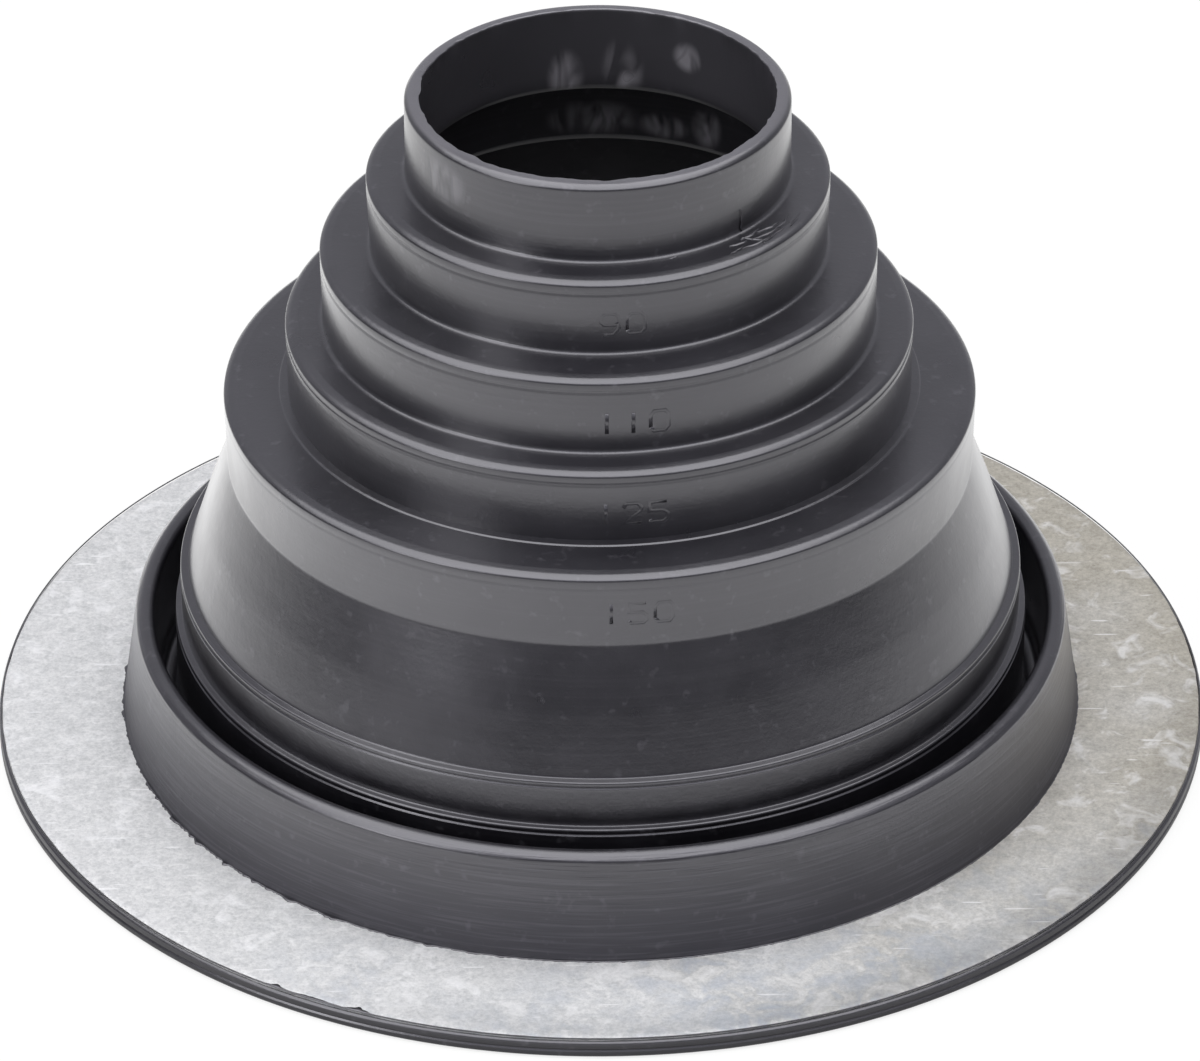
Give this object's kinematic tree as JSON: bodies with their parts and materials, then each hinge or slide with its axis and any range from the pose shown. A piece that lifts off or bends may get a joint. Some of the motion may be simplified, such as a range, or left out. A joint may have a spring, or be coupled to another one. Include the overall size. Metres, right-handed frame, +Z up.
{
  "type": "pipe flashing boot",
  "caption": "Round rubber roof boot with stepped pipe sleeves, a folded collar and a flat metal flange ring.",
  "frame": {"origin": "on the boot's axis, in the plane of the rib tips under the flange", "axes": "+Z up the boot's axis, from the flange to the rim; the part is round, so X and Y are free"},
  "size_m": [0.2466, 0.2466, 0.1417],
  "materials": {
    "epdm_rubber": "matt moulded EPDM",
    "flange_aluminium": "dull annealed sheet"
  },
  "bodies": {
    "root": {"epdm_boot": "epdm_rubber", "aluminium_flange_ring": "flange_aluminium"}
  },
  "joints": []
}
